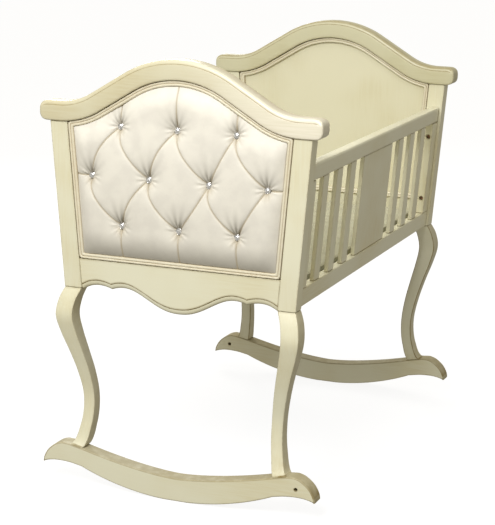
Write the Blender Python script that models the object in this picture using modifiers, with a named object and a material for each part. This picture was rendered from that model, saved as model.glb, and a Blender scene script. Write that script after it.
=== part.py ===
"""Rocking cradle: two camelback ends on cabriole legs and rockers, joined by two slatted sides.

Metres, +Z up. Origin on the floor, in the middle of the cradle. X runs across the cradle,
Y along it: the foot end is at -Y and the head end at +Y. Everything stands clear of its
neighbours by GAP, so that each piece stays a solid of its own.
"""
import math

import bmesh
import bpy
from mathutils import Matrix

# ---------------------------------------------------------------- driving dimensions
GAP = 0.0003                # clearance between touching pieces

END_Y = 0.495               # outer face of the posts, half the body's length
POST_DEPTH = 0.0335         # along Y
POST_WIDTH = 0.0415         # along X
POST_BASE_Z = 0.458         # the legs start here
RAIL_BASE_Z = 0.827         # underside of the top rail at the posts
POST_TOP_X = 0.304          # outer face of the posts under the top rail
POST_BASE_X = 0.2735        # outer face of the posts above the legs
SPLAY = (POST_TOP_X - POST_BASE_X) / (RAIL_BASE_Z - POST_BASE_Z)

RAIL_HEIGHT = 0.043         # top rail, square to its curve
RAIL_DEPTH = 0.045
RAIL_END_X = 0.3060         # where the rail's blunt ends start to turn
NOSE_POWER = 0.72           # 1 would make the ends half round
RAIL_APEX_Z = 0.9525        # centreline of the rail at the middle
CROWN_RADIUS = 0.2215       # centreline radius of the crown
SHOULDER_RADIUS = 0.1605    # centreline radius where the crown runs out to the shoulder
FLANK_ANGLE = math.radians(31)
FLANK_LENGTH = 0.0957

APRON_TOP_Z = 0.525
APRON_DEPTH = 0.022
APRON_SETBACK = 0.0015      # behind the front of the posts
DROP_Z = 0.422              # lowest point of the apron, in the middle
DROP_RISE = 0.0445
DROP_HALF = 0.131           # from the middle to the top of the drop's ogee
CUSP_X = 0.160
ARCH_X = 0.192              # top of the small arch beside each leg

PANEL_FRONT = 0.480         # distance of the end board's outer face from the middle
PANEL_THICK = 0.008
MOULDING_WIDTH = 0.013
MOULDING_FRONT = 0.496      # outer moulding
INNER_MOULDING_BACK = 0.4630
PAD_FRONT = 0.4985

ROCKER_FRONT = 0.5066       # outer face of the rockers
ROCKER_THICK = 0.0380
ROCKER_RADIUS = 0.600       # underside
ROCKER_HEIGHT = 0.053       # in the middle
SEAT_IN = (0.226, 0.0880)   # sloped seat of the foot on the rocker, x and z
SEAT_OUT = (0.266, 0.0960)
PEG_HOLE = (0.285, 0.071)
PEG_HOLE_RADIUS = 0.004

# cabriole leg: height, outer x, width, how far the front stands out from the posts, depth
LEG_STATIONS = (
    (0.458, 0.2735, 0.0415, 0.0000, 0.0335),
    (0.431, 0.2835, 0.0410, 0.0120, 0.0390),
    (0.396, 0.2875, 0.0405, 0.0195, 0.0400),
    (0.356, 0.2790, 0.0380, 0.0120, 0.0370),
    (0.311, 0.2645, 0.0335, 0.0000, 0.0330),
    (0.261, 0.2510, 0.0300, -0.0130, 0.0305),
    (0.211, 0.2420, 0.0270, -0.0215, 0.0290),
    (0.166, 0.2410, 0.0265, -0.0185, 0.0305),
    (0.126, 0.2475, 0.0280, -0.0080, 0.0335),
    (0.0925, 0.2620, 0.0320, 0.0116, 0.0380),
)
LEG_RINGS = 17

SIDE_INSET = 0.007          # outer face of the side frames, in from the posts' outer face
SIDE_TOP_Z = (0.731, 0.769)
SIDE_BOTTOM_Z = (0.4585, 0.4980)
SIDE_TOP_THICK = 0.026
SIDE_BOTTOM_THICK = 0.022
STILE_THICK = 0.020
STILE_WIDTH = 0.0372
SLAT_INSET = 0.0105
SLAT_THICK = 0.010
SLAT_WIDTH = 0.035
SLAT_GAP = 0.054
BOLT_Z = (0.5375, 0.6975)
COUNTERBORE = 0.012

CLEAT = (0.015, 0.0125)     # across and up
BOARD_THICK = 0.005
BOARD_HALF = (0.239, 0.459)
MATTRESS = (0.457, 0.914, 0.025)

# ---------------------------------------------------------------- scene and materials
for old in list(bpy.data.objects):
    bpy.data.objects.remove(old, do_unlink=True)

cradle = bpy.data.collections.new("rocking_cradle")
cutters = bpy.data.collections.new("cutters")
for group in (cradle, cutters):
    bpy.context.scene.collection.children.link(group)


def material(name, colour, roughness, metallic=0.0):
    mat = bpy.data.materials.new(name)
    mat.use_nodes = True
    shader = mat.node_tree.nodes["Principled BSDF"]
    shader.inputs["Base Color"].default_value = (*colour, 1.0)
    shader.inputs["Roughness"].default_value = roughness
    shader.inputs["Metallic"].default_value = metallic
    return mat


PAINT = material("antique_white_paint", (0.76, 0.72, 0.58), 0.42)
TRIM = material("glazed_moulding_paint", (0.72, 0.66, 0.52), 0.42)
SATIN = material("ivory_satin", (0.84, 0.80, 0.74), 0.38)
COTTON = material("cream_cotton", (0.62, 0.61, 0.48), 0.85)
BOARD = material("brown_hardboard", (0.09, 0.06, 0.035), 0.6)
STEEL = material("dark_steel", (0.22, 0.20, 0.19), 0.38, 1.0)


# ---------------------------------------------------------------- modelling helpers
def add(name, mesh, mat, location=(0, 0, 0), group=cradle):
    obj = bpy.data.objects.new(name, mesh)
    obj.location = location
    group.objects.link(obj)
    if mat:
        mesh.materials.clear()
        mesh.materials.append(mat)
    return obj


def soften(obj, width, segments=2):
    bevel = obj.modifiers.new("rounded_edges", "BEVEL")
    bevel.width = width
    bevel.segments = segments
    bevel.limit_method = "ANGLE"
    bevel.angle_limit = math.radians(50)
    return obj


def block(name, size, location, mat, lean=0.0, bevel=0.0015):
    """A box whose X shifts by `lean` for each metre of height, like the splayed sides."""
    mesh = bpy.data.meshes.new(name)
    bm = bmesh.new()
    bmesh.ops.create_cube(bm, size=1.0)
    bmesh.ops.scale(bm, vec=size, verts=bm.verts)
    for vert in bm.verts:
        vert.co.x += vert.co.z * lean
    bm.to_mesh(mesh)
    bm.free()
    obj = add(name, mesh, mat, location)
    if bevel:
        soften(obj, bevel)
    return obj


def plate(name, outlines, y_near, y_far, mat, bevel=0.0):
    """Flat outlines in the X-Z plane, given a thickness along Y. Later outlines are openings."""
    curve = bpy.data.curves.new(name, "CURVE")
    curve.dimensions = "2D"
    curve.fill_mode = "BOTH"
    curve.extrude = abs(y_far - y_near) / 2
    for outline in outlines:
        spline = curve.splines.new("POLY")
        spline.points.add(len(outline) - 1)
        for point, (x, z) in zip(spline.points, outline):
            point.co = (x, z, 0, 1)
        spline.use_cyclic_u = True
    shape = bpy.data.objects.new(name + "_outline", curve)
    shape.matrix_world = (Matrix.Translation((0, (y_near + y_far) / 2, 0))
                          @ Matrix.Rotation(math.pi / 2, 4, "X"))
    bpy.context.scene.collection.objects.link(shape)
    bpy.context.view_layer.update()
    evaluated = shape.evaluated_get(bpy.context.evaluated_depsgraph_get())
    mesh = bpy.data.meshes.new_from_object(evaluated)
    mesh.name = name
    placement = shape.matrix_world.copy()
    bpy.data.objects.remove(shape)
    bm = bmesh.new()
    bm.from_mesh(mesh)
    bmesh.ops.remove_doubles(bm, verts=bm.verts, dist=1e-5)
    bmesh.ops.recalc_face_normals(bm, faces=bm.faces)
    bm.to_mesh(mesh)
    bm.free()
    obj = add(name, mesh, mat)
    obj.matrix_world = placement
    if bevel:
        soften(obj, bevel)
    return obj


def turned(name, profile, mat, location, rotation, steps=12, group=cradle):
    """A profile of (radius, height) points, top to bottom, turned about its own Z axis."""
    mesh = bpy.data.meshes.new(name)
    points = [(r, 0, h) for r, h in profile]
    mesh.from_pydata(points, [(i, i + 1) for i in range(len(points) - 1)], [])
    obj = add(name, mesh, mat, location, group)
    obj.rotation_euler = rotation
    screw = obj.modifiers.new("turn", "SCREW")
    screw.steps = screw.render_steps = steps
    screw.use_merge_vertices = True
    screw.merge_threshold = 0.0001
    screw.use_smooth_shade = False
    return obj


def drill(obj, radius, y_from, y_to, x, z, sides=16):
    """Cuts a round hole along Y."""
    mesh = bpy.data.meshes.new(obj.name + "_hole")
    bm = bmesh.new()
    bmesh.ops.create_cone(bm, cap_ends=True, segments=sides, radius1=radius, radius2=radius,
                          depth=abs(y_to - y_from))
    bmesh.ops.rotate(bm, matrix=Matrix.Rotation(math.pi / 2, 3, "X"), verts=bm.verts)
    bm.to_mesh(mesh)
    bm.free()
    cutter = add(mesh.name, mesh, None, (x, (y_from + y_to) / 2, z), cutters)
    cutter.hide_render = True
    cutter.display_type = "WIRE"
    cut = obj.modifiers.new("hole", "BOOLEAN")
    cut.operation = "DIFFERENCE"
    cut.object = cutter
    return cutter


# ---------------------------------------------------------------- shared shapes
def post_x(z):
    """Outer face of the posts at height z."""
    return POST_TOP_X + (z - RAIL_BASE_Z) * SPLAY


def camelback(offset, end_x, arc_points=7):
    """Half of the crown's curve, from the middle out to end_x, `offset` above the centreline."""
    points = []
    crown = CROWN_RADIUS + offset
    crown_z = RAIL_APEX_Z - CROWN_RADIUS
    for i in range(arc_points + 1):
        a = FLANK_ANGLE * i / arc_points
        points.append((crown * math.sin(a), crown_z + crown * math.cos(a)))
    flank = FLANK_LENGTH
    turn_x = ((CROWN_RADIUS + SHOULDER_RADIUS) * math.sin(FLANK_ANGLE)
              + flank * math.cos(FLANK_ANGLE))
    turn_z = (crown_z + (CROWN_RADIUS + SHOULDER_RADIUS) * math.cos(FLANK_ANGLE)
              - flank * math.sin(FLANK_ANGLE))
    shoulder = SHOULDER_RADIUS - offset
    for i in range(arc_points + 1):
        a = FLANK_ANGLE * (1 - i / arc_points)
        points.append((turn_x - shoulder * math.sin(a), turn_z - shoulder * math.cos(a)))
    points = [p for p in points if p[0] < end_x - 0.002]
    points.append((end_x, turn_z - shoulder * math.cos(math.asin(
        max(0.0, min(1.0, (turn_x - end_x) / shoulder))))))
    return points


def end_opening(margin):
    """Outline inside an end's posts, rail and apron, drawn in by `margin`."""
    offset = -RAIL_HEIGHT / 2 - GAP - margin
    base_z = APRON_TOP_Z + GAP + margin
    corner_z = RAIL_BASE_Z - GAP - margin
    side = POST_WIDTH + GAP + margin
    half = [(post_x(base_z) - side, base_z)]
    half += reversed(camelback(offset, post_x(corner_z) - side))
    return half + [(-x, z) for x, z in reversed(half) if x > 1e-6]


def apron_edge(count=26):
    """Half of the apron's scalloped lower edge, from the middle out to the post."""
    end_x = post_x(POST_BASE_Z) - POST_WIDTH - GAP
    points = []
    for i in range(13):
        x = DROP_HALF * i / 12
        t = (x / DROP_HALF) ** 1.15
        points.append((x, DROP_Z + DROP_RISE * (1 - math.cos(math.pi * t)) / 2))
    top = DROP_Z + DROP_RISE
    for i in range(1, 4):
        t = i / 3
        points.append((DROP_HALF + (CUSP_X - DROP_HALF) * t, top - 0.0055 * t * t))
    for i in range(1, 9):
        x = CUSP_X + (end_x - CUSP_X) * i / 8
        fall = 5.9 if x < ARCH_X else 8.2
        points.append((x, top + 0.0005 - fall * (x - ARCH_X) ** 2))
    return points


def rocker_outline():
    """The rocker, counter-clockwise from its left tip along the underside."""
    under = []
    for i in range(4):
        x = 0.030 + 0.065 * i
        under.append((x, ROCKER_RADIUS - math.sqrt(ROCKER_RADIUS ** 2 - x * x)))
    flat = under[0][1]
    under = [(x, z - flat) for x, z in under]
    under += [(0.258, 0.0500), (0.280, 0.0525), (0.300, 0.0520), (0.316, 0.0492), (0.329, 0.0450)]
    tail = [(0.3275, 0.0540), (0.3235, 0.0640), (0.3165, 0.0750), (0.3060, 0.0850),
            (0.2935, 0.0930), (0.2800, 0.0970)]
    over = [SEAT_OUT, SEAT_IN]
    for i in range(5, 0, -1):
        share = i / 6
        over.append((SEAT_IN[0] * share,
                     ROCKER_HEIGHT + (SEAT_IN[1] - ROCKER_HEIGHT) * share ** 1.6))
    half = under + tail + over
    return half + [(0.0, ROCKER_HEIGHT)] + [(-x, z) for x, z in reversed(half)]


def smooth_value(stations, column, z):
    """Catmull-Rom value of one column of LEG_STATIONS at height z."""
    for i in range(len(stations) - 1):
        z1, z2 = stations[i][0], stations[i + 1][0]
        if z <= z1 and z >= z2 - 1e-9:
            before = stations[max(i - 1, 0)]
            after = stations[min(i + 2, len(stations) - 1)]
            a, b = stations[i][column], stations[i + 1][column]
            slope_a = (b - before[column]) / (z2 - before[0]) * (z2 - z1)
            slope_b = (after[column] - a) / (after[0] - z1) * (z2 - z1)
            t = (z - z1) / (z2 - z1)
            return (a * (2 * t ** 3 - 3 * t ** 2 + 1) + slope_a * (t ** 3 - 2 * t ** 2 + t)
                    + b * (3 * t ** 2 - 2 * t ** 3) + slope_b * (t ** 3 - t ** 2))
    return stations[-1][column]


def cabriole_leg(name, sx, sy):
    """A loft of square sections, swelling at the knee and kicking out at the foot."""
    chamfer = 0.0028
    top, foot = LEG_STATIONS[0][0], LEG_STATIONS[-1][0]
    slope = (SEAT_OUT[1] - SEAT_IN[1]) / (SEAT_OUT[0] - SEAT_IN[0])
    bm = bmesh.new()
    rings = []
    for i in range(LEG_RINGS):
        z = top + (foot - top) * i / (LEG_RINGS - 1)
        x_out, width, stand_out, depth = (smooth_value(LEG_STATIONS, c, z) for c in (1, 2, 3, 4))
        x_in, front = x_out - width, END_Y + stand_out
        back = front - depth
        c = chamfer
        corners = ((x_out - c, front), (x_out, front - c), (x_out, back + c), (x_out - c, back),
                   (x_in + c, back), (x_in, back + c), (x_in, front - c), (x_in + c, front))
        ring = []
        for x, y in corners:
            level = z - GAP if i == 0 else z
            if i == LEG_RINGS - 1:
                level = SEAT_IN[1] + (x - SEAT_IN[0]) * slope + GAP
            ring.append(bm.verts.new((sx * x, sy * y, level)))
        rings.append(ring)
    for upper, lower in zip(rings, rings[1:]):
        for j in range(8):
            k = (j + 1) % 8
            bm.faces.new((upper[j], upper[k], lower[k], lower[j]))
    bm.faces.new(rings[0])
    bm.faces.new(list(reversed(rings[-1])))
    bmesh.ops.recalc_face_normals(bm, faces=bm.faces)
    mesh = bpy.data.meshes.new(name)
    bm.to_mesh(mesh)
    bm.free()
    return add(name, mesh, PAINT)


# ---------------------------------------------------------------- the two ends
def build_end(end, sy):
    def y_pair(near, far):
        return sorted((sy * near, sy * far))

    for side, sx in (("left", -1), ("right", 1)):
        mid_z = (POST_BASE_Z + RAIL_BASE_Z) / 2
        block(f"{end}_{side}_post", (POST_WIDTH, POST_DEPTH, RAIL_BASE_Z - POST_BASE_Z - 2 * GAP),
              (sx * (post_x(mid_z) - POST_WIDTH / 2), sy * (END_Y - POST_DEPTH / 2), mid_z),
              PAINT, lean=sx * SPLAY, bevel=0.0015)
        cabriole_leg(f"{end}_{side}_leg", sx, sy)

    upper = camelback(RAIL_HEIGHT / 2, RAIL_END_X)
    lower = camelback(-RAIL_HEIGHT / 2, RAIL_END_X)
    nose_z = (upper[-1][1] + lower[-1][1]) / 2
    nose = []
    for i in range(1, 10):
        c, s = math.cos(math.radians(90 - 18 * i)), math.sin(math.radians(90 - 18 * i))
        nose.append((RAIL_END_X + RAIL_HEIGHT / 2 * c ** NOSE_POWER,
                     nose_z + math.copysign(RAIL_HEIGHT / 2 * abs(s) ** NOSE_POWER, s)))
    half = upper + nose + lower[::-1]
    outline = half + [(-x, z) for x, z in reversed(half) if x > 1e-6]
    centre = END_Y - POST_DEPTH / 2
    plate(f"{end}_top_rail", [outline], *y_pair(centre - RAIL_DEPTH / 2, centre + RAIL_DEPTH / 2),
          PAINT, bevel=0.0035)

    edge = apron_edge()
    top_x = post_x(APRON_TOP_Z) - POST_WIDTH - GAP
    half = edge + [(top_x, APRON_TOP_Z)]
    front = END_Y - APRON_SETBACK
    plate(f"{end}_apron", [[(-x, z) for x, z in reversed(half)] + half[1:]],
          *y_pair(front - APRON_DEPTH, front), PAINT)

    panel_back = PANEL_FRONT - PANEL_THICK
    plate(f"{end}_end_panel", [end_opening(0.0)], *y_pair(panel_back, PANEL_FRONT), PAINT)
    rim, sight = end_opening(0.0), end_opening(MOULDING_WIDTH)
    plate(f"{end}_outer_moulding", [rim, sight], *y_pair(PANEL_FRONT + GAP, MOULDING_FRONT), TRIM)
    plate(f"{end}_inner_moulding", [rim, sight],
          *y_pair(INNER_MOULDING_BACK, panel_back - GAP), TRIM)
    plate(f"{end}_tufted_pad", [end_opening(MOULDING_WIDTH + GAP)],
          *y_pair(PANEL_FRONT + GAP, PAD_FRONT), SATIN, bevel=0.006)

    rocker = plate(f"{end}_rocker", [rocker_outline()],
                   *y_pair(ROCKER_FRONT - ROCKER_THICK, ROCKER_FRONT), PAINT, bevel=0.0015)
    drill(rocker, PEG_HOLE_RADIUS, sy * (ROCKER_FRONT + 0.01),
          sy * (ROCKER_FRONT - ROCKER_THICK - 0.01), -sy * PEG_HOLE[0], PEG_HOLE[1])


build_end("foot", -1)
build_end("head", 1)


# ---------------------------------------------------------------- the two slatted sides
def leaning(name, sx, inset, thick, y_near, y_far, z_low, z_high, mat, bevel=0.0015):
    mid_z = (z_low + z_high) / 2
    return block(name, (thick, abs(y_far - y_near), z_high - z_low),
                 (sx * (post_x(mid_z) - inset - thick / 2), (y_near + y_far) / 2, mid_z),
                 mat, lean=sx * SPLAY, bevel=bevel)


def bolt(name, sx, sy, z):
    """Socket bolt through the stile into the post, its head sunk in a counterbore."""
    head_y = INNER_Y - STILE_WIDTH + COUNTERBORE - 2 * GAP       # underside of the head
    profile = [(0, 0.006), (0.0045, 0.006), (0.0045, 0), (0.0029, 0), (0.0029, -0.045), (0, -0.045)]
    x = sx * (post_x(z) - SIDE_INSET - STILE_THICK / 2)
    tilt = math.pi / 2 if sy > 0 else -math.pi / 2
    return turned(name, profile, STEEL, (x, sy * head_y, z), (tilt, 0, 0))


INNER_Y = END_Y - POST_DEPTH - GAP              # where the sides meet the posts

for side, sx in (("left", -1), ("right", 1)):
    leaning(f"{side}_side_top_rail", sx, SIDE_INSET, SIDE_TOP_THICK, -INNER_Y, INNER_Y,
            *SIDE_TOP_Z, PAINT, bevel=0.005)
    leaning(f"{side}_side_bottom_rail", sx, SIDE_INSET, SIDE_BOTTOM_THICK, -INNER_Y, INNER_Y,
            *SIDE_BOTTOM_Z, PAINT, bevel=0.002)
    between = (SIDE_BOTTOM_Z[1] + GAP, SIDE_TOP_Z[0] - GAP)
    for end, sy in (("foot", -1), ("head", 1)):
        stile = leaning(f"{end}_{side}_stile", sx, SIDE_INSET + 0.0003, STILE_THICK,
                        sy * (INNER_Y - STILE_WIDTH), sy * INNER_Y, *between, PAINT)
        post = bpy.data.objects[f"{end}_{side}_post"]
        for number, z in enumerate(BOLT_Z, 1):
            x = sx * (post_x(z) - SIDE_INSET - STILE_THICK / 2)
            drill(stile, 0.0055, sy * (INNER_Y - STILE_WIDTH - 0.005),
                  sy * (INNER_Y - STILE_WIDTH + COUNTERBORE - GAP), x, z)
            drill(stile, 0.0034, sy * (INNER_Y - STILE_WIDTH), sy * (INNER_Y + 0.005), x, z)
            drill(post, 0.0034, sy * (INNER_Y - 0.005), sy * (INNER_Y + 0.022), x, z)
            bolt(f"{end}_{side}_bolt_{number}", sx, sy, z)

    first = INNER_Y - STILE_WIDTH - SLAT_GAP
    for number in range(3):
        outer = first - number * (SLAT_WIDTH + SLAT_GAP)
        for end, sy in (("foot", -1), ("head", 1)):
            leaning(f"{side}_{end}_slat_{number + 1}", sx, SLAT_INSET, SLAT_THICK,
                    sy * outer, sy * (outer - SLAT_WIDTH), *between, PAINT)
    half_panel = first - 3 * (SLAT_WIDTH + SLAT_GAP)
    leaning(f"{side}_centre_panel", sx, SLAT_INSET, SLAT_THICK, -half_panel, half_panel,
            *between, PAINT)
    leaning(f"{side}_support_cleat", sx, SIDE_INSET + SIDE_BOTTOM_THICK + GAP, CLEAT[0],
            -0.44, 0.44, SIDE_BOTTOM_Z[0], SIDE_BOTTOM_Z[0] + CLEAT[1], PAINT, bevel=0.001)

# ---------------------------------------------------------------- what the child lies on
board_z = SIDE_BOTTOM_Z[0] + CLEAT[1] + GAP
block("mattress_support_board", (2 * BOARD_HALF[0], 2 * BOARD_HALF[1], BOARD_THICK),
      (0, 0, board_z + BOARD_THICK / 2), BOARD, bevel=0.0)
block("mattress", MATTRESS, (0, 0, board_z + BOARD_THICK + GAP + MATTRESS[2] / 2), COTTON,
      bevel=0.008)

for obj in cradle.objects:
    obj.data.shade_smooth()
    obj.data.set_sharp_from_angle(angle=math.radians(35))
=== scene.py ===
"""Rocking cradle with glazed antique-white paint and satin tufted ends.

Metres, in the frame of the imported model: origin on the floor under the middle, X across,
Y along the cradle with the foot end at -Y, Z up.
"""
import math

import bmesh
import bpy
import numpy as np
from mathutils import Matrix, Vector


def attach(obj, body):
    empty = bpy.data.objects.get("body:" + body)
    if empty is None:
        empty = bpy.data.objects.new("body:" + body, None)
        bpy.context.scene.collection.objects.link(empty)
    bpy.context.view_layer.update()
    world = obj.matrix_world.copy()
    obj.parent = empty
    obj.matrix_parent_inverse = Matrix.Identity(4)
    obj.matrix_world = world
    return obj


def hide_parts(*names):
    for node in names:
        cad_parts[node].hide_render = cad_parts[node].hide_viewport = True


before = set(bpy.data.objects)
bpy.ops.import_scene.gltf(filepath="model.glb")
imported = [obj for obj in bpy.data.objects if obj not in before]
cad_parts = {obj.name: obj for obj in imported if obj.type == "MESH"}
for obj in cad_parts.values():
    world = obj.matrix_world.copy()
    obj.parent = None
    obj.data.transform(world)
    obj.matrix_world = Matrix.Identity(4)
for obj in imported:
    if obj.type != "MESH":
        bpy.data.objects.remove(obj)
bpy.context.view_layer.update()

scene = bpy.context.scene

# ------------ dimensions, as in the CAD
GAP = 0.0003
END_Y = 0.495
POST_DEPTH = 0.0335
POST_WIDTH = 0.0415
POST_BASE_Z = 0.458
RAIL_BASE_Z = 0.827
POST_TOP_X = 0.304
POST_BASE_X = 0.2735
SPLAY = (POST_TOP_X - POST_BASE_X) / (RAIL_BASE_Z - POST_BASE_Z)

RAIL_HALF = 0.0215
RAIL_DEPTH = 0.045
RAIL_END_X = 0.3060
NOSE_POWER = 0.72             # 1 would make the rail's ends half round
RAIL_APEX_Z = 0.9525
CROWN_RADIUS = 0.2215
SHOULDER_RADIUS = 0.1605
FLANK_ANGLE = math.radians(31)
FLANK_LENGTH = 0.0957

APRON_TOP_Z = 0.525
APRON_DEPTH = 0.022
APRON_FRONT = 0.4935
DROP_Z = 0.422
DROP_RISE = 0.0445
DROP_HALF = 0.131
CUSP_X = 0.160
ARCH_X = 0.192
APRON_LINE = 0.0128           # the glazed line above the scalloped edge

PANEL_FRONT = 0.480
PANEL_BACK = 0.472
MOULDING_WIDTH = 0.013
MOULDING_FRONT = 0.496
MOULDING_DEPTH = 0.0155
INNER_MOULDING_FACE = 0.4630

ROCKER_FRONT = 0.5066
ROCKER_THICK = 0.0380
ROCKER_RADIUS = 0.600
ROCKER_HEIGHT = 0.053
ROCKER_FLAT = 0.030           # half of the level part of the underside
ROCKER_SWEEP = 1.6            # how its upper edge climbs to the seats
SEAT_IN = (0.226, 0.0880)
SEAT_OUT = (0.266, 0.0960)
PEG_HOLE = (0.285, 0.071)
PEG_HOLE_RADIUS = 0.004

# cabriole leg: height, outer x, width, how far the front stands out from the posts, depth
LEG_STATIONS = (
    (0.458, 0.2735, 0.0415, 0.0000, 0.0335),
    (0.431, 0.2835, 0.0410, 0.0120, 0.0390),
    (0.396, 0.2875, 0.0405, 0.0195, 0.0400),
    (0.356, 0.2790, 0.0380, 0.0120, 0.0370),
    (0.311, 0.2645, 0.0335, 0.0000, 0.0330),
    (0.261, 0.2510, 0.0300, -0.0130, 0.0305),
    (0.211, 0.2420, 0.0270, -0.0215, 0.0290),
    (0.166, 0.2410, 0.0265, -0.0185, 0.0305),
    (0.126, 0.2475, 0.0280, -0.0080, 0.0335),
    (0.0925, 0.2620, 0.0320, 0.0116, 0.0380),
)

SIDE_INSET = 0.007
STILE_THICK = 0.020
STILE_WIDTH = 0.0372
COUNTERBORE = 0.012
BOLT_RADII = (0.0029, 0.0045)  # shank and head
BOLT_LENGTH = 0.045
BOLT_HEAD = 0.006
INNER_Y = END_Y - POST_DEPTH - GAP
BOLT_Z = (0.5375, 0.6975)
MATTRESS_HALF = (0.2285, 0.4570)
MATTRESS_Z = (0.4767, 0.5035)
MATTRESS_CROWN = 0.0062       # its middle stands this far above its edges
MATTRESS_CORNER = 0.028
QUILT_PITCH = 0.078

# crystal buttons: height of each row, and where they sit across it
BUTTON_ROWS = (
    (0.824, (-0.133, 0.000, 0.135)),
    (0.713, (-0.203, -0.067, 0.073, 0.206)),
    (0.607, (-0.132, 0.003, 0.138)),
)
PAD_EDGE_Y = 0.4925          # where the satin meets the moulding
PAD_RISE = 0.0140            # how far the puffs stand out from there
PAD_STEP = 0.0016            # grid of the pad's surface
PIT_DEPTH = 0.0150           # pull of a button on the satin
PLEAT_RUN = 0.16             # how far a pleat to the edge of the pad lasts


# ------------ materials
class Tree:
    """Short ways to add nodes to the tree of a material or of the world."""

    def __init__(self, owner):
        owner.use_nodes = True
        self.nodes, self.links = owner.node_tree.nodes, owner.node_tree.links

    def add(self, kind, **values):
        made = self.nodes.new(kind)
        for key, value in values.items():
            if key in made.inputs:
                made.inputs[key].default_value = value
            else:
                setattr(made, key, value)
        return made

    def feed(self, socket, value):
        """Links an output to the socket, or sets the socket to a number or a colour."""
        if isinstance(value, tuple):
            socket.default_value = (*value, 1.0)
        elif isinstance(value, (int, float)):
            socket.default_value = value
        else:
            self.links.new(value, socket)

    def shader(self, name, value):
        self.feed(self.nodes["Principled BSDF"].inputs[name], value)

    def noise(self, scale, stretch=(1, 1, 1), detail=3.0, rough=0.55):
        fit = self.add("ShaderNodeMapping", Scale=stretch)
        self.links.new(self.add("ShaderNodeTexCoord").outputs["Object"], fit.inputs["Vector"])
        made = self.add("ShaderNodeTexNoise", Scale=scale, Detail=detail, Roughness=rough)
        self.links.new(fit.outputs["Vector"], made.inputs["Vector"])
        return made.outputs["Fac"]

    def remap(self, value, low, high, to_low=0.0, to_high=1.0):
        made = self.add("ShaderNodeMapRange", interpolation_type="SMOOTHSTEP")
        for key, number in zip(("Value", "From Min", "From Max", "To Min", "To Max"),
                               (value, low, high, to_low, to_high)):
            self.feed(made.inputs[key], number)
        return made.outputs["Result"]

    def math(self, operation, *operands):
        made = self.add("ShaderNodeMath", operation=operation, use_clamp=operation == "ADD")
        for socket, value in zip(made.inputs, operands):
            self.feed(socket, value)
        return made.outputs["Value"]

    def mix(self, factor, a, b):
        made = self.add("ShaderNodeMix", data_type="RGBA")
        for index, value in ((0, factor), (6, a), (7, b)):      # its sockets for colours
            self.feed(made.inputs[index], value)
        return made.outputs[2]

    def stored(self, name):
        """A value kept on the points of the mesh."""
        return self.add("ShaderNodeAttribute", attribute_name=name).outputs["Fac"]

    def axis(self, output, axis):
        """One axis of a position, a normal or a direction."""
        parts = self.add("ShaderNodeSeparateXYZ")
        self.links.new(self.add("ShaderNodeTexCoord").outputs[output], parts.inputs["Vector"])
        return parts.outputs[axis]

    def relief(self, height, strength, distance):
        bump = self.add("ShaderNodeBump", Strength=strength, Distance=distance)
        self.feed(bump.inputs["Height"], height)
        self.shader("Normal", bump.outputs["Normal"])


def new_material(name):
    mat = bpy.data.materials.new(name)
    return mat, Tree(mat)


def glazed_paint(name, grain, cream=(0.785, 0.772, 0.60), warm=(0.71, 0.66, 0.44),
                 glaze_and_shade=(0.250, 0.186, 0.070), edge=0.95, crevice=0.85, end_face_shade=0.0,
                 light_toward_x=None):
    """Brushed antique-white paint, with brown glaze left in the grooves and along the edges.

    `end_face_shade` paints shade, in the glaze colour, on the faces that look along the cradle;
    `light_toward_x` paints light towards +X.
    """
    mat, tree = new_material(name)
    broad = tree.noise(5.0, detail=2.0)
    along = {"x": (14, 260, 260), "y": (260, 14, 260), "z": (260, 260, 14)}[grain]
    streak = tree.noise(1.0, along, detail=4.0, rough=0.6)
    patch = tree.noise(55.0)

    tone = tree.math("MULTIPLY", tree.remap(broad, 0.35, 0.70),
                     tree.remap(streak, 0.30, 0.75, 0.40, 1.0))
    base = tree.mix(tone, cream, warm)
    # a paler colour mixed in towards +X: a painted light on that side
    if light_toward_x:
        paler = tree.math("MULTIPLY",
                          tree.remap(tree.axis("Object", "X"), -0.06, 0.27, 0.0, 0.95),
                          tree.remap(streak, 0.30, 0.75, 1.0, 0.65))
        base = tree.mix(paler, base, light_toward_x)

    inner = tree.add("ShaderNodeAmbientOcclusion", samples=6, inside=True, only_local=True,
                     Distance=0.0036)
    outer = tree.add("ShaderNodeAmbientOcclusion", samples=6, inside=False, Distance=0.0060)
    at_edge = tree.math("MULTIPLY", tree.remap(inner.outputs["AO"], 0.90, 0.50, 0.0, edge),
                        tree.remap(patch, 0.30, 0.70, 0.35, 1.0))
    in_crevice = tree.remap(outer.outputs["AO"], 0.62, 0.18, 0.0, crevice)
    # the stored value is glaze in the grooves, and painted shade on the legs' sides and the
    # rockers' tops
    in_groove = tree.math("MULTIPLY", tree.stored("glaze_and_shade"),
                          tree.remap(patch, 0.20, 0.65, 0.72, 1.0))
    mask = tree.math("MAXIMUM", tree.math("MAXIMUM", at_edge, in_crevice), in_groove)
    # faces that look along the cradle take the glaze colour: a painted shade
    if end_face_shade:
        endways = tree.math("ABSOLUTE", tree.axis("Normal", "Y"))
        mask = tree.math("MAXIMUM", mask, tree.remap(endways, 0.60, 0.95, 0.0, end_face_shade))
    tree.shader("Base Color", tree.mix(mask, base, glaze_and_shade))

    tree.shader("Roughness", tree.math("ADD", tree.remap(streak, 0.2, 0.8, 0.32, 0.46),
                                       tree.math("MULTIPLY", mask, 0.15)))
    tree.relief(streak, 0.22, 0.0006)
    # the glaze is matt: no coat and hardly any gloss where it lies
    tree.shader("Coat Weight", tree.remap(mask, 0.10, 0.55, 0.28, 0.0))
    tree.shader("Specular IOR Level", tree.remap(mask, 0.10, 0.55, 0.50, 0.05))
    tree.shader("Coat Roughness", 0.24)
    return mat


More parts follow.
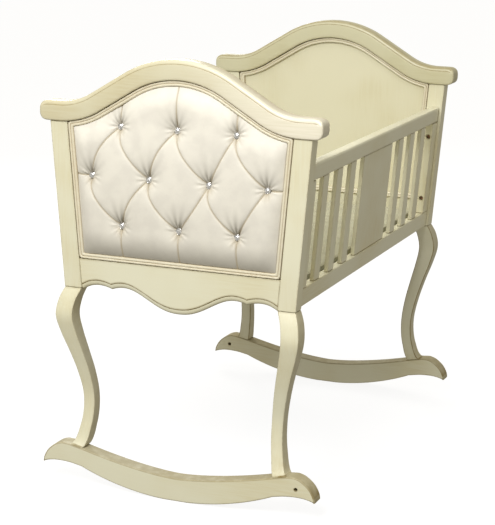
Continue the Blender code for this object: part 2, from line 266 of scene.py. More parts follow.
def satin_cloth(name):
    """Ivory satin: a close weave and a soft gloss, with painted grey shade in the gathers and
    painted warm tan shade in the folds.
    """
    mat, tree = new_material(name)
    thread = tree.noise(1.0, (2600, 500, 700), detail=2.0)
    slub = tree.noise(1.0, (60, 60, 700))
    base = tree.mix(tree.remap(tree.noise(22.0, detail=4.0), 0.35, 0.65),
                    (0.85, 0.825, 0.745), (0.78, 0.755, 0.685))
    # grey from the stored shade value: a painted shade above the buttons and towards the bottom
    base = tree.mix(tree.stored("shade"), base, (0.235, 0.220, 0.178))
    # a warm tan along the pleats and under the buttons: a painted shade
    warm = tree.math("MULTIPLY", tree.stored("glaze_and_shade"), 0.85)
    tree.shader("Base Color", tree.mix(warm, base, (0.40, 0.325, 0.19)))
    tree.shader("Roughness", tree.remap(slub, 0.25, 0.75, 0.48, 0.62))
    tree.relief(tree.math("ADD", tree.math("MULTIPLY", thread, 0.5),
                          tree.math("MULTIPLY", slub, 0.5)), 0.25, 0.0004)
    tree.shader("Sheen Weight", 0.25)
    tree.shader("Sheen Roughness", 0.40)
    tree.shader("Specular IOR Level", 0.34)
    return mat


def cotton_cloth(name):
    """Plain cream ticking, a little darker along its stitched seams."""
    mat, tree = new_material(name)
    base = tree.mix(tree.remap(tree.noise(12.0), 0.3, 0.7),
                    (0.55, 0.545, 0.41), (0.50, 0.495, 0.365))
    tree.shader("Base Color", tree.mix(tree.stored("glaze_and_shade"), base, (0.42, 0.37, 0.27)))
    cloth = tree.math("MAXIMUM", tree.noise(1.0, (1900, 260, 400), detail=2.0),
                      tree.noise(1.0, (260, 1900, 400), detail=2.0))
    tree.shader("Roughness", tree.remap(cloth, 0.4, 0.8, 0.78, 0.92))
    tree.relief(cloth, 0.18, 0.0003)
    tree.shader("Sheen Weight", 0.2)
    return mat


def mottled(name, light, dark, rough, scale, stretch=(1, 1, 1), detail=3.0, sockets=()):
    """Two tones and two roughnesses mixed by one noise; `sockets` are set as they are."""
    mat, tree = new_material(name)
    spots = tree.noise(scale, stretch, detail)
    tree.shader("Base Color", tree.mix(tree.remap(spots, 0.3, 0.7), light, dark))
    tree.shader("Roughness", tree.remap(spots, 0.2, 0.8, *rough))
    for socket, value in sockets:
        tree.shader(socket, value)
    return mat


PAINT_X = glazed_paint("glazed_paint_across", "x")
PAINT_Y = glazed_paint("glazed_paint_along", "y")
PAINT_Z = glazed_paint("glazed_paint_upright", "z")
# the slats' faces that look along the cradle are darkened: a painted shade
PAINT_SLAT = glazed_paint("glazed_paint_slat", "z", end_face_shade=0.12)
# the foot rail grows paler towards +X: a painted light
PAINT_RAIL = {"foot": glazed_paint("glazed_paint_foot_rail", "x", cream=(0.68, 0.65, 0.475),
                                   warm=(0.57, 0.50, 0.295), light_toward_x=(0.86, 0.82, 0.69)),
              # the head rail's darker cream is a painted shade, for the light falling off towards
              # the head end
              "head": glazed_paint("glazed_paint_head_rail_shaded", "x", cream=(0.63, 0.61, 0.43),
                                   warm=(0.51, 0.47, 0.27))}
PAINT_PANEL = glazed_paint("glazed_paint_panel", "z", cream=(0.77, 0.745, 0.565),
                           warm=(0.68, 0.635, 0.42))
TRIM = glazed_paint("glazed_moulding", "x", cream=(0.80, 0.765, 0.61), warm=(0.75, 0.685, 0.51),
                    glaze_and_shade=(0.37, 0.275, 0.14))
SATIN = satin_cloth("ivory_satin_cloth")
COTTON = cotton_cloth("cream_cotton_cloth")
# the board and its cleats are nearly black: a painted shade for the dark gap beside the mattress
BOARD = mottled("near_black_board", (0.030, 0.019, 0.011), (0.016, 0.010, 0.007),
                (0.60, 0.80), 1.0, (90, 90, 400), detail=4.0)
BRONZE = mottled("bronzed_bolt", (0.42, 0.27, 0.19), (0.24, 0.15, 0.10), (0.30, 0.50), 420.0,
                 sockets=(("Metallic", 1.0),))
SILVER = mottled("silver_cup", (0.82, 0.81, 0.79), (0.66, 0.65, 0.63), (0.12, 0.28), 420.0,
                 sockets=(("Metallic", 1.0),))
CRYSTAL = mottled("cut_crystal", (0.90, 0.90, 0.91), (0.72, 0.74, 0.78), (0.02, 0.06), 300.0,
                  detail=2.0, sockets=(("Transmission Weight", 0.15), ("Metallic", 0.70),
                                       ("IOR", 1.75)))


# ------------ mesh helpers
def make_piece(name, verts, faces, glaze_and_shade, mat, body="cradle", sharp=32, flat=False,
               shade=None):
    """A mesh that rides on `body`; edges steeper than `sharp` degrees stay sharp."""
    mesh = bpy.data.meshes.new(name)
    mesh.from_pydata([tuple(v) for v in verts], [], [tuple(f) for f in faces])
    # the first stored value is glaze and painted shade; the second is painted shade
    for kind, values in (("glaze_and_shade", glaze_and_shade), ("shade", shade)):
        if values is not None:
            store = mesh.attributes.new(kind, "FLOAT", "POINT")
            store.data.foreach_set("value", np.asarray(values, dtype=np.float32))
    bm = bmesh.new()
    bm.from_mesh(mesh)
    bmesh.ops.remove_doubles(bm, verts=bm.verts, dist=1e-6)
    bmesh.ops.dissolve_degenerate(bm, edges=bm.edges, dist=1e-7)
    bmesh.ops.recalc_face_normals(bm, faces=bm.faces)
    bm.to_mesh(mesh)
    bm.free()
    mesh.materials.append(mat)
    if not flat:
        mesh.shade_smooth()
        mesh.set_sharp_from_angle(angle=math.radians(sharp))
    obj = bpy.data.objects.new(name, mesh)
    scene.collection.objects.link(obj)
    if not flat:
        weigh = obj.modifiers.new("face_normals", "WEIGHTED_NORMAL")
        weigh.keep_sharp = True
    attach(obj, body)
    return obj


def loft(rings, caps=()):
    """Quads between closed rings of the same length. `caps` names rings that are closed off."""
    count = len(rings[0])
    verts = [p for ring in rings for p in ring]
    faces = []
    for a in range(len(rings) - 1):
        for j in range(count):
            k = (j + 1) % count
            faces.append((a * count + j, a * count + k, (a + 1) * count + k, (a + 1) * count + j))
    for ring in caps:
        start = (ring % len(rings)) * count
        faces.append(tuple(range(start, start + count)))
    return verts, faces


def grid_faces(columns, rows):
    width = columns + 1
    return [(j * width + i, j * width + i + 1, (j + 1) * width + i + 1, (j + 1) * width + i)
            for j in range(rows) for i in range(columns)]


def grid_rim(columns, rows):
    """The points round the edge of a grid, counter-clockwise."""
    width = columns + 1
    return (list(range(width)) + [j * width + columns for j in range(1, rows + 1)]
            + [rows * width + i for i in range(columns - 1, -1, -1)]
            + [j * width for j in range(rows - 1, 0, -1)])


def circle(x, z, radius, sides, y, turn=0.0):
    angles = [2 * math.pi * k / sides + turn for k in range(sides)]
    return [(x + radius * math.cos(a), y, z + radius * math.sin(a)) for a in angles]


def quarter(count):
    """Angles of a quarter turn, without its start."""
    return [math.radians(90.0 * i / count) for i in range(1, count + 1)]


def post_x(z):
    """The outer side of the splayed posts at height z."""
    return POST_TOP_X + (z - RAIL_BASE_Z) * SPLAY


CROWN_Z = RAIL_APEX_Z - CROWN_RADIUS
TURN_X = ((CROWN_RADIUS + SHOULDER_RADIUS) * math.sin(FLANK_ANGLE)
          + FLANK_LENGTH * math.cos(FLANK_ANGLE))
TURN_Z = (CROWN_Z + (CROWN_RADIUS + SHOULDER_RADIUS) * math.cos(FLANK_ANGLE)
          - FLANK_LENGTH * math.sin(FLANK_ANGLE))


def camel_spine(shoulder_stop=0.0, crown=24, flank=7, shoulder=16):
    """Half of the crown's centreline, from the middle out: x, z and the upward normal."""
    spine = []
    for i in range(crown + 1):
        a = FLANK_ANGLE * i / crown
        s, c = math.sin(a), math.cos(a)
        spine.append((CROWN_RADIUS * s, CROWN_Z + CROWN_RADIUS * c, s, c))
    x0, z0, s, c = spine[-1]
    for i in range(1, flank):
        run = FLANK_LENGTH * i / flank
        spine.append((x0 + run * c, z0 - run * s, s, c))
    for i in range(shoulder + 1):
        a = FLANK_ANGLE + (shoulder_stop - FLANK_ANGLE) * i / shoulder
        s, c = math.sin(a), math.cos(a)
        spine.append((TURN_X - SHOULDER_RADIUS * s, TURN_Z - SHOULDER_RADIUS * c, s, c))
    return spine


# ------------ top rails
def rail_profile():
    """(inset, recess, glaze) from the middle of the face out to the rim, above and below."""
    above = [(0.0215, 0.0, 0.0), (0.0150, 0.00005, 0.0), (0.0105, 0.00025, 0.0),
             (0.0094, 0.0004, 0.05), (0.0090, 0.0007, 0.30), (0.0088, 0.0018, 1.0),
             (0.0084, 0.0020, 0.85), (0.0078, 0.0020, 0.15)]
    below = [(0.0215, 0.0, 0.0), (0.0150, 0.00005, 0.0), (0.0105, 0.0001, 0.0),
             (0.0080, 0.0002, 0.0), (0.0066, 0.0003, 0.0), (0.0052, 0.0004, 0.0),
             (0.0044, 0.0005, 0.0), (0.0038, 0.0006, 0.0)]
    for a in quarter(7):
        above.append((0.0078 * (1 - math.sin(a)), 0.0088 - 0.0068 * math.cos(a),
                      0.10 * math.sin(a)))
        below.append((0.0038 * (1 - math.sin(a)), 0.0044 - 0.0038 * math.cos(a),
                      0.15 * math.sin(a)))
    return above, below


def build_top_rail(end, sy):
    """Camel-back rail: a stepped upper edge that runs round the blunt noses at its ends."""
    centre = END_Y - POST_DEPTH / 2
    front, back = centre + RAIL_DEPTH / 2, centre - RAIL_DEPTH / 2
    spine = camel_spine()
    low_z = TURN_Z - SHOULDER_RADIUS
    for i in range(1, 5):
        spine.append((TURN_X + (RAIL_END_X - TURN_X) * i / 4, low_z, 0.0, 1.0))
    half = [(x, z, nx, nz, 1.0) for x, z, nx, nz in spine]
    for i in range(1, 24):
        a = math.radians(90 - 180 * i / 24)
        c, s = math.cos(a), math.sin(a)
        half.append((RAIL_END_X, low_z, c ** NOSE_POWER,
                     math.copysign(abs(s) ** NOSE_POWER, s), max(0.0, s) ** 1.6))
    half += [(x, z, -nx, -nz, 0.0) for x, z, nx, nz in reversed(spine)]
    loop = half + [(-x, z, -nx, nz, t) for x, z, nx, nz, t in reversed(half[1:-1])]

    above, below = rail_profile()
    rings, glaze_and_shade = [], []
    for plane, way in ((front, -1), (back, 1)):
        samples = list(zip(above, below))
        if plane == back:
            samples.reverse()
        for top, low in samples:
            ring = []
            for x, z, nx, nz, t in loop:
                t = t * t * (3 - 2 * t)
                inset = top[0] * t + low[0] * (1 - t)
                recess = top[1] * t + low[1] * (1 - t)
                reach = RAIL_HALF - inset
                ring.append((x + nx * reach, sy * (plane + way * recess), z + nz * reach))
                value = top[2] * t + low[2] * (1 - t)
                if plane == back and inset < 0.004:
                    value = max(value, 0.55 * t)
                glaze_and_shade.append(value)
            rings.append(ring)
    verts, faces = loft(rings)
    obj = make_piece(f"{end}_top_rail_carved", verts, faces, glaze_and_shade, PAINT_RAIL[end])
    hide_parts(f"{end}_top_rail")


# ------------ mouldings and openings
def opening_loop(margin, radius, fillet=7):
    """The end's opening drawn in by `margin`, with its four corners eased by `radius`."""
    base_z = APRON_TOP_Z + GAP + margin
    side = POST_WIDTH + GAP + margin
    reach = SHOULDER_RADIUS + RAIL_HALF + GAP + margin
    corner_x = post_x(RAIL_BASE_Z - GAP - margin) - side
    stop = math.asin((TURN_X - corner_x) / reach)
    rail = [(x - nx * (RAIL_HALF + GAP + margin), z - nz * (RAIL_HALF + GAP + margin))
            for x, z, nx, nz in camel_spine(stop)]
    top_corner = rail[-1]
    low_corner = (post_x(base_z) - side, base_z)

    def eased(corner, before, after):
        c = Vector(corner)
        p = c + (Vector(before) - c).normalized() * radius
        q = c + (Vector(after) - c).normalized() * radius
        points = []
        for i in range(fillet + 1):
            t = i / fillet
            points.append(tuple(p * (1 - t) ** 2 + c * 2 * t * (1 - t) + q * t * t))
        return points

    half = [(0.0, base_z), (low_corner[0] / 2, base_z)]
    half += eased(low_corner, (0.0, base_z), top_corner)
    for i in range(1, 8):
        t = i / 8
        half.append((low_corner[0] + (top_corner[0] - low_corner[0]) * t,
                     low_corner[1] + (top_corner[1] - low_corner[1]) * t))
    half += eased(top_corner, low_corner, rail[-3])
    half += list(reversed(rail[:-3]))
    return half + [(-x, z) for x, z in reversed(half[1:-1])]


UPPER_CORNER = 17             # the point of opening_loop where its upper corner starts

# across the moulding from the frame to the panel: inset, recess from its face, glaze
MOULDING_BEADS = (
    (0.0, MOULDING_DEPTH, 1.0), (0.0, 0.0060, 1.0), (0.0007, 0.0036, 0.9), (0.0013, 0.0013, 0.40),
    (0.0019, 0.0006, 0.08),
    (0.0030, 0.0002, 0.0), (0.0046, 0.0006, 0.05), (0.0056, 0.0014, 0.30),
    (0.0062, 0.0022, 0.70), (0.0068, 0.0014, 0.30), (0.0078, 0.0007, 0.05),
    (0.0094, 0.0004, 0.0), (0.0108, 0.0009, 0.05), (0.0119, 0.0020, 0.30),
    (0.0126, 0.0034, 0.50), (MOULDING_WIDTH, 0.0050, 0.65),
    (MOULDING_WIDTH, MOULDING_DEPTH, 0.8))


def build_moulding(end, sy, inner):
    """Beaded frame round the opening; inside the cradle its glaze fades near the mattress."""
    rings, glaze_and_shade = [], []
    depth = (PANEL_BACK - GAP - INNER_MOULDING_FACE) if inner else MOULDING_DEPTH
    for u, recess, tint in MOULDING_BEADS:
        recess = min(recess, depth)
        y = INNER_MOULDING_FACE + recess if inner else MOULDING_FRONT - recess
        ring = [(x, sy * y, z) for x, z in opening_loop(u, 0.0075 - 0.30 * u)]
        rings.append(ring)
        for _, _, z in ring:
            worn = min(1.0, max(0.15, (z - 0.56) / 0.08)) if inner else 1.0
            glaze_and_shade.append(tint * worn)
    rings.append(rings[0])
    glaze_and_shade += glaze_and_shade[:len(rings[0])]
    verts, faces = loft(rings)
    which = "inner" if inner else "outer"
    obj = make_piece(f"{end}_{which}_moulding_beaded", verts, faces, glaze_and_shade, TRIM,
                     sharp=60)
    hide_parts(f"{end}_{which}_moulding")


# ------------ aprons
def apron_z(x):
    """Height of the apron's scalloped edge."""
    x = abs(x)
    top = DROP_Z + DROP_RISE
    if x <= DROP_HALF:
        t = (x / DROP_HALF) ** 1.15
        return DROP_Z + DROP_RISE * (1 - math.cos(math.pi * t)) / 2
    if x <= CUSP_X:
        t = (x - DROP_HALF) / (CUSP_X - DROP_HALF)
        return top - 0.0055 * t * t
    fall = 5.9 if x < ARCH_X else 8.2
    return top + 0.0005 - fall * (x - ARCH_X) ** 2


def build_apron(end, sy):
    """Scalloped apron with a glazed line above its rounded edge."""
    end_x = post_x(POST_BASE_Z) - POST_WIDTH - GAP
    half = [DROP_HALF * i / 40 for i in range(41)]
    half += [DROP_HALF + (CUSP_X - DROP_HALF) * i / 9 for i in range(1, 10)]
    half += [CUSP_X + (end_x - CUSP_X) * i / 24 for i in range(1, 25)]
    stations = [-x for x in reversed(half[1:])] + half
    rings, glaze_and_shade = [], []
    for x in stations:
        ze = apron_z(x)
        line = APRON_LINE
        section = [(APRON_TOP_Z, 0.0006, 0.6), (APRON_TOP_Z - 0.0008, 0.0, 0.2),
                   (APRON_TOP_Z - 0.004, 0.0, 0.0), (ze + line + 0.0040, 0.0, 0.0),
                   (ze + line + 0.0009, 0.0, 0.45), (ze + line, 0.0004, 1.0),
                   (ze + line - 0.0005, 0.0018, 1.0), (ze + line - 0.0012, 0.0019, 0.95),
                   (ze + line - 0.0020, 0.0013, 0.15)]
        drop = line - 0.0020
        for a in quarter(8):
            section.append((ze + drop * (1 - math.sin(a)), 0.0088 - 0.0075 * math.cos(a),
                            0.70 * math.sin(a) ** 6))
        section += [(ze + 0.0001, APRON_DEPTH - 0.002, 0.2), (ze + 0.0015, APRON_DEPTH, 0.2),
                    (ze + 0.012, APRON_DEPTH, 0.0), (APRON_TOP_Z, APRON_DEPTH, 0.0)]
        ring = []
        for z, recess, tint in section:
            spread = (post_x(z) - POST_WIDTH - GAP) / end_x
            ring.append((x * spread, sy * (APRON_FRONT - recess), z))
            glaze_and_shade.append(tint)
        rings.append(ring)
    verts, faces = loft(rings, caps=(0, -1))
    obj = make_piece(f"{end}_apron_scalloped", verts, faces, glaze_and_shade, PAINT_X)
    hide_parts(f"{end}_apron")


# ------------ legs and rockers
def leg_value(column, z):
    """Catmull-Rom value of one column of LEG_STATIONS at height z."""
    last = len(LEG_STATIONS) - 1
    for i in range(last):
        z1, z2 = LEG_STATIONS[i][0], LEG_STATIONS[i + 1][0]
        if z2 - 1e-9 <= z <= z1:
            before, after = LEG_STATIONS[max(i - 1, 0)], LEG_STATIONS[min(i + 2, last)]
            a, b = LEG_STATIONS[i][column], LEG_STATIONS[i + 1][column]
            slope_a = (b - before[column]) / (z2 - before[0]) * (z2 - z1)
            slope_b = (after[column] - a) / (after[0] - z1) * (z2 - z1)
            t = (z - z1) / (z2 - z1)
            return (a * (2 * t ** 3 - 3 * t ** 2 + 1) + slope_a * (t ** 3 - 2 * t ** 2 + t)
                    + b * (3 * t ** 2 - 2 * t ** 3) + slope_b * (t ** 3 - t ** 2))
    return LEG_STATIONS[-1][column]


def build_leg(end, side, sx, sy, rings_up=72, radius=0.0022, swell=0.0003, side_shade=0.36):
    """Cabriole leg with eased arrises of `radius`, faces that `swell` a little, and glaze colour
    on its sides that is partly brushed glaze, partly painted shade.
    """
    top, foot = LEG_STATIONS[0][0], LEG_STATIONS[-1][0]
    slope = (SEAT_OUT[1] - SEAT_IN[1]) / (SEAT_OUT[0] - SEAT_IN[0])
    rings, glaze_and_shade = [], []
    for i in range(rings_up + 1):
        z = top + (foot - top) * i / rings_up
        x_out, width, stand_out, depth = (leg_value(column, z) for column in (1, 2, 3, 4))
        near_end = min(i, rings_up - i)
        draw_in = 0.0006 if near_end == 0 else 0.0
        x_out, x_in = x_out - draw_in, x_out - width + draw_in
        front, back = END_Y + stand_out - draw_in, END_Y + stand_out - depth + draw_in
        ring = []
        corners = ((x_out, front), (x_out, back), (x_in, back), (x_in, front))
        for k, (cx, cy) in enumerate(corners):
            mx = cx - radius if cx == x_out else cx + radius
            my = cy - radius if cy == front else cy + radius
            for j in range(7):
                turn = math.radians((90, 0, -90, -180)[k] - 90 * j / 6)
                px, py = mx + radius * math.cos(turn), my + radius * math.sin(turn)
                # the side faces take glaze colour: partly brushed glaze, partly a painted shade
                tint = side_shade if abs(math.cos(turn)) > 0.8 else 0.05
                ring.append((px, py, 0.9 if 1 <= j <= 5 and k in (1, 2) else tint))
            nx, ny = ((1, 0), (0, -1), (-1, 0), (0, 1))[k]
            following = corners[(k + 1) % 4]
            ring.append(((cx + following[0]) / 2 + nx * swell,
                         (cy + following[1]) / 2 + ny * swell, side_shade if nx else 0.0))
        out = []
        for x, y, tint in ring:
            level = z - GAP if i == 0 else z
            blend = max(0.0, (i - (rings_up - 8)) / 8)
            if blend:
                seat = SEAT_IN[1] + (x - SEAT_IN[0]) * slope + GAP
                level = z + (seat - z) * blend ** 1.5
            out.append((sx * x, sy * y, level))
            glaze_and_shade.append(max(tint, 0.35 if near_end == 0 else 0.0))
        rings.append(out)
    verts, faces = loft(rings, caps=(0, -1))
    obj = make_piece(f"{end}_{side}_leg_carved", verts, faces, glaze_and_shade, PAINT_Z,
                     sharp=50)
    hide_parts(f"{end}_{side}_leg")


def catmull(points, steps):
    """A smooth curve through the points, with `steps` pieces between each two."""
    out = []
    for i in range(len(points) - 1):
        p0, p1 = points[max(i - 1, 0)], points[i]
        p2, p3 = points[i + 1], points[min(i + 2, len(points) - 1)]
        for k in range(steps):
            t = k / steps
            out.append(tuple(0.5 * (2 * b + (c - a) * t + (2 * a - 5 * b + 4 * c - d) * t * t
                                    + (3 * b - a - 3 * c + d) * t ** 3)
                             for a, b, c, d in zip(p0, p1, p2, p3)))
    return out + [points[-1]]


def rocker_outline():
    """Counter-clockwise outline of the rocker seen from the front."""
    flat = ROCKER_RADIUS - math.sqrt(ROCKER_RADIUS ** 2 - ROCKER_FLAT ** 2)
    under = []
    for i in range(26):
        x = 0.232 * i / 25
        under.append((x, max(0.0, ROCKER_RADIUS - math.sqrt(ROCKER_RADIUS ** 2 - x * x) - flat)))
    under += catmull([(0.238, 0.0470), (0.258, 0.0507), (0.280, 0.0525), (0.300, 0.0520),
                      (0.316, 0.0492), (0.3285, 0.0452)], 4)
    tail = catmull([(0.3285, 0.0458), (0.3275, 0.0540), (0.3235, 0.0640), (0.3165, 0.0750),
                    (0.3060, 0.0850), (0.2935, 0.0930), (0.2800, 0.0970)], 4)
    over = [SEAT_OUT, SEAT_IN]
    for i in range(24, -1, -1):
        share = i / 25
        over.append((SEAT_IN[0] * share,
                     ROCKER_HEIGHT + (SEAT_IN[1] - ROCKER_HEIGHT) * share ** ROCKER_SWEEP))
    half = under + tail + over
    return half + [(-x, z) for x, z in reversed(half[1:-1])]


def inset_loop(points, inset):
    """Each point drawn in square to the outline, which runs counter-clockwise."""
    out = []
    count = len(points)
    for i, (x, z) in enumerate(points):
        ax, az = points[i - 1]
        bx, bz = points[(i + 1) % count]
        d1 = Vector((x - ax, z - az)).normalized()
        d2 = Vector((bx - x, bz - z)).normalized()
        n1, n2 = Vector((-d1.y, d1.x)), Vector((-d2.y, d2.x))
        n = (n1 + n2).normalized()
        scale = min(1.6, 1.0 / max(0.3, n.dot(n1)))
        out.append((x + n.x * inset * scale, z + n.y * inset * scale))
    return out


def build_rocker(end, sy, hole_sides=24):
    """Rocker with eased edges, a peg hole through it, more glaze at the tips and painted shade on
    top.
    """
    outline = rocker_outline()
    rim = [(0.0030, 0.0), (0.0026, 0.0)]
    rim += [(0.0026 * (1 - math.sin(a)), 0.0026 - 0.0026 * math.cos(a)) for a in quarter(5)]
    back = ROCKER_FRONT - ROCKER_THICK
    rings = [[(x, ROCKER_FRONT - recess, z) for x, z in inset_loop(outline, inset)]
             for inset, recess in rim]
    rings += [[(x, back + recess, z) for x, z in inset_loop(outline, inset)]
              for inset, recess in reversed(rim)]
    verts, faces = loft(rings)
    count = len(outline)
    bm = bmesh.new()
    made = [bm.verts.new(v) for v in verts]
    for face in faces:
        bm.faces.new([made[i] for i in face])
    hole_x = sy * -PEG_HOLE[0]
    tint = {}
    circles = []
    for plane, start, way in ((ROCKER_FRONT, 0, -1), (back, (len(rings) - 1) * count, 1)):
        loop = made[start:start + count]
        edges = [bm.edges.get((loop[i], loop[(i + 1) % count])) for i in range(count)]
        levels = []
        for widen, sink, value in ((0.0012, 0.0, 0.0), (0.0004, 0.0, 0.55), (0.0, 0.0006, 0.9)):
            r = PEG_HOLE_RADIUS + widen
            level = [bm.verts.new(v) for v in circle(hole_x, PEG_HOLE[1], r, hole_sides,
                                                     plane + way * sink)]
            for v in level:
                tint[v] = value
            levels.append(level)
        around = [bm.edges.new((levels[0][i], levels[0][(i + 1) % hole_sides]))
                  for i in range(hole_sides)]
        bmesh.ops.triangle_fill(bm, edges=edges + around, use_beauty=True)
        circles.append(levels)
    for i in range(hole_sides):
        k = (i + 1) % hole_sides
        for levels in circles:
            for a, b in zip(levels, levels[1:]):
                bm.faces.new((a[i], a[k], b[k], b[i]))
        bm.faces.new((circles[0][2][i], circles[0][2][k], circles[1][2][k], circles[1][2][i]))
    # the outline faces up where drawing it in by a millimetre lowers it
    drawn_in = inset_loop(outline, 0.001)
    upper = [z - inner[1] > 0.0003 for (_, z), inner in zip(outline, drawn_in)]
    for ring_index in range(len(rings)):
        on_rim = 0 < ring_index < len(rings) - 1
        for v, on_top in zip(made[ring_index * count:(ring_index + 1) * count], upper):
            tip = min(1.0, max(0.0, (abs(v.co.x) - 0.300) / 0.029))
            # all rim edges take glaze colour; the upward ones take more, a painted shade on the
            # rocker's top
            tint[v] = (0.58 if on_top else 0.30) + 0.4 * tip ** 2 if on_rim else 0.0
    bm.verts.index_update()
    glaze_and_shade = [tint[v] for v in bm.verts]
    corners = [(v.co.x, sy * v.co.y, v.co.z) for v in bm.verts]
    faces = [[v.index for v in f.verts] for f in bm.faces]
    bm.free()
    obj = make_piece(f"{end}_rocker_shaped", corners, faces, glaze_and_shade, PAINT_X,
                     sharp=40)
    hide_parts(f"{end}_rocker")


# ------------ tufted satin pads
def pleats():
    """Every pleat as a line of points, and whether it runs between two buttons."""
    top, middle, bottom = ([(x, z) for x in xs] for z, xs in BUTTON_ROWS)
    bowed = []
    for row, left_bows in ((top, (0.017, 0.014, 0.002)), (bottom, (0.013, -0.004, 0.003))):
        for i, button in enumerate(row):
            left, right = (middle[i], middle[i + 1])
            if row is top:
                bowed += [(button, left, left_bows[i]), (button, right, 0.020)]
            else:
                bowed += [(left, button, 0.021), (right, button, left_bows[i])]
    lines = []
    for (ax, az), (bx, bz), bow in bowed:
        points = []
        for k in range(19):
            t = k / 18
            points.append((ax + (bx - ax) * t - bow * math.sin(math.pi * t ** 0.9),
                           az + (bz - az) * t))
        lines.append((points, True))
    straight = [(b, (b[0] + 0.004, 1.0)) for b in top] + [(b, (b[0] + 0.002, 0.5)) for b in bottom]
    straight += [(middle[0], (-0.29, middle[0][1] + 0.002)), (middle[3], (0.29, middle[3][1]))]
    lines += [([a, b], False) for a, b in straight]
    return lines


def rounded(distance, width, power):
    """Climbs from 0 at an edge to 1 at `width` from it."""
    return 1 - (1 - np.clip(distance / width, 0, 1)) ** power


def pad_height(x, z, side, bottom, top):
    """How far the satin stands out at (x, z), its painted warm fold shade, and its painted grey
    shade.

    `side`, `bottom` and `top` are the distances to the edges of the opening.
    """
    dome = rounded(side, 0.034, 2.2) * rounded(bottom, 0.060, 2.0) * rounded(top, 0.045, 2.0)
    height = PAD_RISE * dome
    fold_shade = np.zeros_like(x)
    valley = np.zeros_like(x)
    for points, between in pleats():
        nearest = np.full_like(x, 9.0)
        along = np.zeros_like(x)
        run = 0.0
        for (ax, az), (bx, bz) in zip(points, points[1:]):
            dx, dz = bx - ax, bz - az
            length = math.hypot(dx, dz)
            t = np.clip(((x - ax) * dx + (z - az) * dz) / length ** 2, 0, 1)
            d = np.hypot(x - ax - dx * t, z - az - dz * t)
            closer = d < nearest
            nearest = np.where(closer, d, nearest)
            along = np.where(closer, run + t * length, along)
            run += length
        from_ends = np.minimum(along, run - along) if between else along
        depth = 0.0036 + 0.0046 * np.exp(-from_ends / 0.020)
        if not between:
            depth = depth * np.exp(-(along / PLEAT_RUN) ** 2)
        valley = np.maximum(valley, depth * (0.55 * np.exp(-nearest / 0.0075)
                                             + 0.45 * np.exp(-(nearest / 0.0020) ** 2)))
        # thin tan lines along the pleats: a painted shade
        fold_shade = np.maximum(fold_shade, np.exp(-(nearest / 0.0014) ** 2)
                          * (0.92 + 0.08 * np.exp(-from_ends / 0.022)))
    height -= valley
    wrinkle = np.zeros_like(x)
    pit = np.zeros_like(x)
    # painted shade: darker along the bottom edge and towards the bottom
    shade = 0.54 * (1 - rounded(bottom, 0.055, 1.6)) + 0.20 * np.clip(1 - (z - 0.54) / 0.26, 0, 1)
    for row, (bz, xs) in enumerate(BUTTON_ROWS):
        for col, bx in enumerate(xs):
            r = np.hypot(x - bx, z - bz)
            up = np.where(z > bz, 0.78, 1.08)
            pit = np.maximum(pit, PIT_DEPTH * np.exp(-(np.hypot(x - bx, (z - bz) * up)
                                                    / 0.0150) ** 1.15))
            angle = np.arctan2(z - bz, x - bx)
            phase = 1.7 * row + 2.3 * col
            waves = (np.cos(9 * angle + phase) + 0.7 * np.cos(13 * angle - 2 * phase)
                     + 0.5 * np.cos(5 * angle + 3 * phase))
            upward = np.exp(-((angle - math.pi / 2) / 1.05) ** 2)
            wrinkle += (0.00050 + 0.00085 * upward) * waves * np.exp(-((r - 0.014) / 0.0105) ** 2)
            # a warm tan under each button: painted shade and painted reflected light
            below = np.exp(-((angle + math.pi / 2) / 1.1) ** 2)
            fold_shade = np.maximum(fold_shade, (0.42 + 0.45 * below)
                              * np.exp(-(r / (0.0085 + 0.0085 * below)) ** 2))
            # painted grey shade in fans of streaks above each button
            streaks = 0.72 + 0.28 * np.cos(15 * angle + phase)
            reach = np.clip((r - 0.003) / 0.006, 0, 1) * np.exp(-np.maximum(r - 0.012, 0)
                                                                 / (0.0190 + 0.0035 * row))
            shade = np.maximum(shade, (0.84 + 0.10 * row) * upward * streaks * reach)
    height += wrinkle - pit
    height = np.maximum(height, -0.0060)
    return height, np.clip(fold_shade, 0, 1), np.clip(shade, 0, 1)


